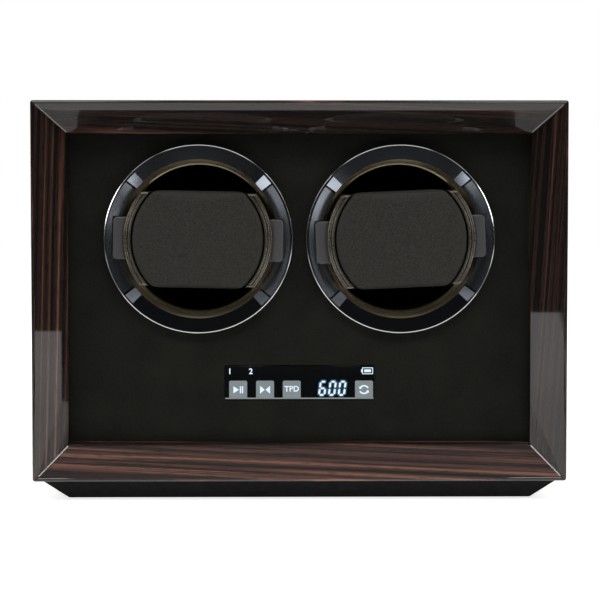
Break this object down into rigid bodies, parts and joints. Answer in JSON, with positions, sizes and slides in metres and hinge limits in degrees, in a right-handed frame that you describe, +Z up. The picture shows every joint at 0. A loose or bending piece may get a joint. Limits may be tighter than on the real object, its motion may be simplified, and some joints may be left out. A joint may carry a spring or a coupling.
{
  "type": "watch winder box",
  "caption": "Open-fronted lacquered watch winder box with bevelled frame, belt-driven rotors with pull-out cushions, and a touch display.",
  "frame": {"origin": "on the surface it stands on, under the middle of the box", "axes": "+X to the right seen from the front, +Y to the back, +Z up"},
  "size_m": [0.25, 0.172, 0.1882],
  "materials": {
    "veneer": "high-gloss lacquered dark striped veneer",
    "black_lacquer": "black gloss lacquer",
    "fibreboard": "plain fibreboard",
    "black_board": "black painted board",
    "felt": "black felt",
    "leatherette": "matte black leatherette",
    "window_black": "black acrylic, polished",
    "housing_plastic": "black plastic",
    "circuit_board": "green solder mask",
    "cable_grey": "grey cable sheath",
    "steel": "zinc-plated steel",
    "bronze": "sintered bronze",
    "motor_steel": "plated motor can",
    "gearbox_zinc": "die-cast housing",
    "pulley_plastic": "white acetal",
    "belt_rubber": "black round belt",
    "ring_metal": "polished dark metal with a bright edge",
    "cup_plastic": "dark olive-brown plastic",
    "carrier_plastic": "dark grey plastic",
    "pad_leather": "fine-grain dark leather",
    "socket_plastic": "black plastic with metal pin",
    "cell_jacket": "plain wrapped cell"
  },
  "bodies": {
    "case": {"case_bottom_panel": "veneer", "case_right_panel": "veneer", "case_top_panel": "veneer", "case_left_panel": "veneer", "frame_bottom_rail": "veneer", "frame_right_rail": "veneer", "frame_top_rail": "veneer", "frame_left_rail": "veneer", "plinth": "black_lacquer", "felt_feet": "felt", "facia_board": "fibreboard", "bulkhead": "fibreboard", "bulkhead_battens": "fibreboard", "rear_battens": "fibreboard", "facia_leather": "leatherette", "touch_window": "window_black", "display_housing": "housing_plastic", "battery_tray": "housing_plastic", "display_board": "circuit_board", "control_board": "circuit_board", "display_ribbon": "cable_grey", "motor_leads": "cable_grey", "display_screws": "steel", "bulkhead_screws": "steel", "gearbox_screws": "steel", "board_standoffs": "steel", "back_cover_screws": "steel", "rotor_bushes": "bronze", "back_cover": "black_board", "power_socket": "socket_plastic", "battery_cells": "cell_jacket", "left_motor": "motor_steel", "left_gearbox": "gearbox_zinc", "left_drive_belt": "belt_rubber", "right_motor": "motor_steel", "right_gearbox": "gearbox_zinc", "right_drive_belt": "belt_rubber"},
    "battery_door": {"battery_door": "housing_plastic"},
    "left_rotor": {"left_rotor_ring": "ring_metal", "left_rotor_cup": "cup_plastic", "left_cup_pulley": "pulley_plastic", "left_rotor_shaft": "steel", "left_rotor_clip": "steel"},
    "left_drive": {"left_drive_pulley": "pulley_plastic", "left_gearbox_shaft": "steel"},
    "left_cushion": {"left_cushion_carrier": "carrier_plastic", "left_cushion_front_pad": "pad_leather", "left_cushion_spring": "steel"},
    "left_rear_pad": {"left_cushion_rear_pad": "pad_leather"},
    "right_rotor": {"right_rotor_ring": "ring_metal", "right_rotor_cup": "cup_plastic", "right_cup_pulley": "pulley_plastic", "right_rotor_shaft": "steel", "right_rotor_clip": "steel"},
    "right_drive": {"right_drive_pulley": "pulley_plastic", "right_gearbox_shaft": "steel"},
    "right_cushion": {"right_cushion_carrier": "carrier_plastic", "right_cushion_front_pad": "pad_leather", "right_cushion_spring": "steel"},
    "right_rear_pad": {"right_cushion_rear_pad": "pad_leather"}
  },
  "joints": [
    {"name": "left_rotor_spin", "type": "hinge", "parent": "case", "child": "left_rotor", "pos_m": [-0.04815, 0, 0.1229], "axis": [0, 1, 0], "continuous": true},
    {"name": "left_drive_spin", "type": "hinge", "parent": "case", "child": "left_drive", "pos_m": [-0.04815, 0, 0.0729], "axis": [0, 1, 0], "continuous": true},
    {"name": "left_cushion_pull", "type": "slide", "parent": "left_rotor", "child": "left_cushion", "axis": [0, -1, 0], "range_m": [0, 0.07]},
    {"name": "left_rear_pad_press", "type": "slide", "parent": "left_cushion", "child": "left_rear_pad", "axis": [0, -1, 0], "range_m": [0, 0.008], "stiffness_N_per_m": 800, "springref_m": -0.004, "deforming": ["left_cushion_spring"]},
    {"name": "right_rotor_spin", "type": "hinge", "parent": "case", "child": "right_rotor", "pos_m": [0.04815, 0, 0.1229], "axis": [0, 1, 0], "continuous": true},
    {"name": "right_drive_spin", "type": "hinge", "parent": "case", "child": "right_drive", "pos_m": [0.04815, 0, 0.0729], "axis": [0, 1, 0], "continuous": true},
    {"name": "right_cushion_pull", "type": "slide", "parent": "right_rotor", "child": "right_cushion", "axis": [0, -1, 0], "range_m": [0, 0.07]},
    {"name": "right_rear_pad_press", "type": "slide", "parent": "right_cushion", "child": "right_rear_pad", "axis": [0, -1, 0], "range_m": [0, 0.008], "stiffness_N_per_m": 800, "springref_m": -0.004, "deforming": ["right_cushion_spring"]},
    {"name": "battery_door_hinge", "type": "hinge", "parent": "case", "child": "battery_door", "pos_m": [0, 0.0805, 0.10585], "axis": [-1, 0, 0], "range_deg": [0, 90]}
  ],
  "couplings": [
    {"joint": "left_drive_spin", "follows": "left_rotor_spin", "ratio": 4},
    {"joint": "right_drive_spin", "follows": "right_rotor_spin", "ratio": 4}
  ]
}
